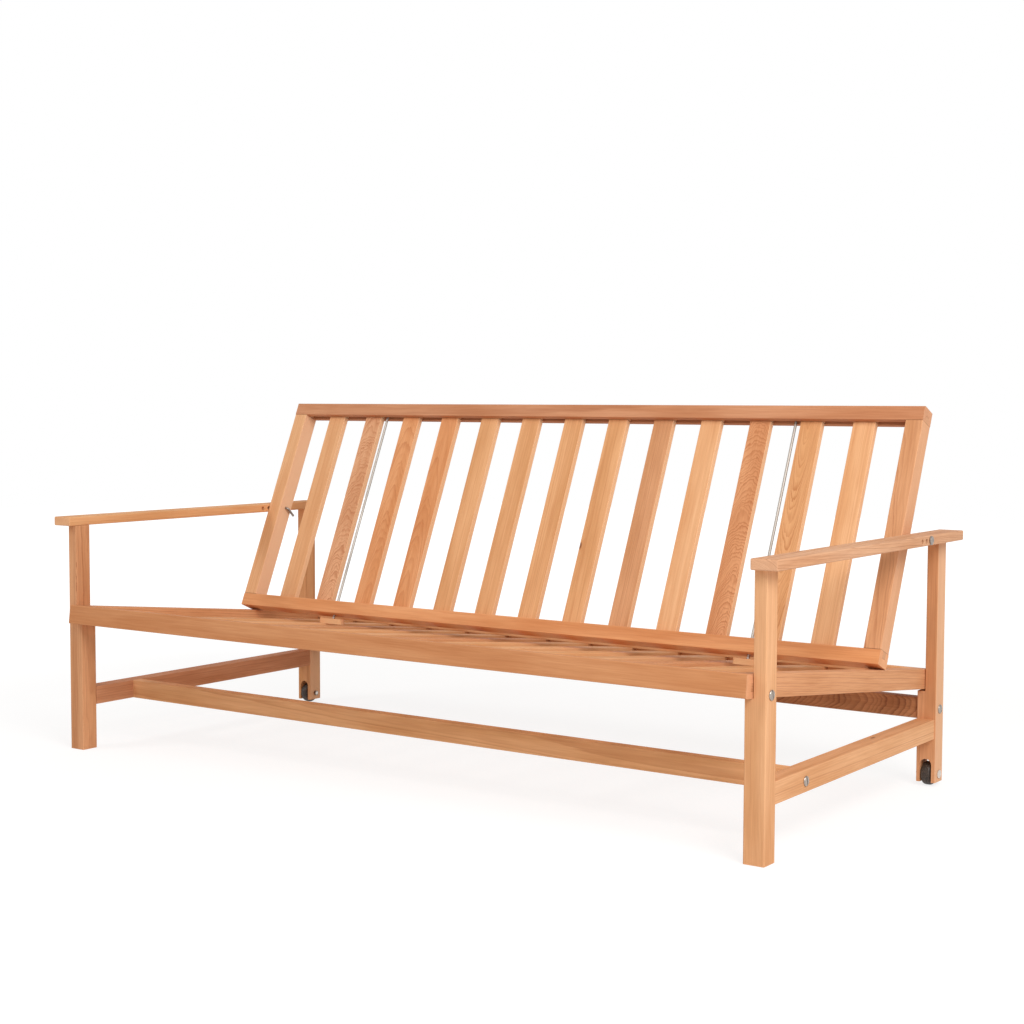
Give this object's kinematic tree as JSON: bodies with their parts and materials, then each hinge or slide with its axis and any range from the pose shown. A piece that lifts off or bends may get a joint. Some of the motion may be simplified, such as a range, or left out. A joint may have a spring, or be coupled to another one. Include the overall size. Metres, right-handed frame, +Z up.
{
  "type": "outdoor sofa",
  "caption": "Slatted wooden outdoor sofa frame with flat armrests, a sloping seat, a back that pivots on bolts through the armrests, and wheels let into the rear legs.",
  "frame": {"origin": "on the floor, at the middle of the sofa's length and depth", "axes": "+X along the seat to the sitter's left, seen from the front to the right; +Y to the back; +Z up"},
  "size_m": [2.007, 0.9468, 0.8677],
  "materials": {
    "oiled_wood": "oiled softwood, reddish tan, softly rounded edges",
    "bright_steel": "bright zinc-plated or stainless steel",
    "wheel_plastic": "black moulded plastic"
  },
  "bodies": {
    "frame": {"left_front_leg": "oiled_wood", "right_front_leg": "oiled_wood", "left_rear_leg": "oiled_wood", "right_rear_leg": "oiled_wood", "left_armrest": "oiled_wood", "right_armrest": "oiled_wood", "left_side_stretcher": "oiled_wood", "right_side_stretcher": "oiled_wood", "front_stretcher": "oiled_wood", "rear_cross_rail": "oiled_wood", "seat_front_rail": "oiled_wood", "seat_rear_rail": "oiled_wood", "left_seat_stile": "oiled_wood", "right_seat_stile": "oiled_wood", "seat_slat_01": "oiled_wood", "seat_slat_02": "oiled_wood", "seat_slat_03": "oiled_wood", "seat_slat_04": "oiled_wood", "seat_slat_05": "oiled_wood", "seat_slat_06": "oiled_wood", "seat_slat_07": "oiled_wood", "seat_slat_08": "oiled_wood", "seat_slat_09": "oiled_wood", "seat_slat_10": "oiled_wood", "seat_slat_11": "oiled_wood", "seat_slat_12": "oiled_wood", "seat_slat_13": "oiled_wood", "frame_bolts": "bright_steel", "threaded_inserts": "bright_steel", "pivot_sleeve_nuts": "bright_steel", "wheel_axles": "bright_steel", "axle_nuts": "bright_steel"},
    "back": {"back_top_rail": "oiled_wood", "back_bottom_rail": "oiled_wood", "left_back_stile": "oiled_wood", "right_back_stile": "oiled_wood", "back_slat_01": "oiled_wood", "back_slat_02": "oiled_wood", "back_slat_03": "oiled_wood", "back_slat_04": "oiled_wood", "back_slat_05": "oiled_wood", "back_slat_06": "oiled_wood", "back_slat_07": "oiled_wood", "back_slat_08": "oiled_wood", "back_slat_09": "oiled_wood", "back_slat_10": "oiled_wood", "back_slat_11": "oiled_wood", "back_slat_12": "oiled_wood", "back_slat_13": "oiled_wood", "left_tie_rod": "bright_steel", "right_tie_rod": "bright_steel", "left_foot_block": "oiled_wood", "right_foot_block": "oiled_wood"},
    "left_pivot_bolt": {"left_pivot_bolt": "bright_steel"},
    "right_pivot_bolt": {"right_pivot_bolt": "bright_steel"},
    "left_wheel": {"left_wheel": "wheel_plastic"},
    "right_wheel": {"right_wheel": "wheel_plastic"}
  },
  "joints": [
    {"name": "back_recline", "type": "hinge", "parent": "frame", "child": "back", "pos_m": [0, 0.2779, 0.574], "axis": [-1, 0, 0], "range_deg": [0, 60]},
    {"name": "left_bolt_turn", "type": "hinge", "parent": "back", "child": "left_pivot_bolt", "pos_m": [-0.92, 0.2779, 0.574], "axis": [1, 0, 0], "continuous": true},
    {"name": "right_bolt_turn", "type": "hinge", "parent": "back", "child": "right_pivot_bolt", "pos_m": [0.92, 0.2779, 0.574], "axis": [1, 0, 0], "continuous": true},
    {"name": "left_wheel_spin", "type": "hinge", "parent": "frame", "child": "left_wheel", "pos_m": [-0.9465, 0.427, 0.027], "axis": [1, 0, 0], "continuous": true},
    {"name": "right_wheel_spin", "type": "hinge", "parent": "frame", "child": "right_wheel", "pos_m": [0.9465, 0.427, 0.027], "axis": [1, 0, 0], "continuous": true}
  ]
}
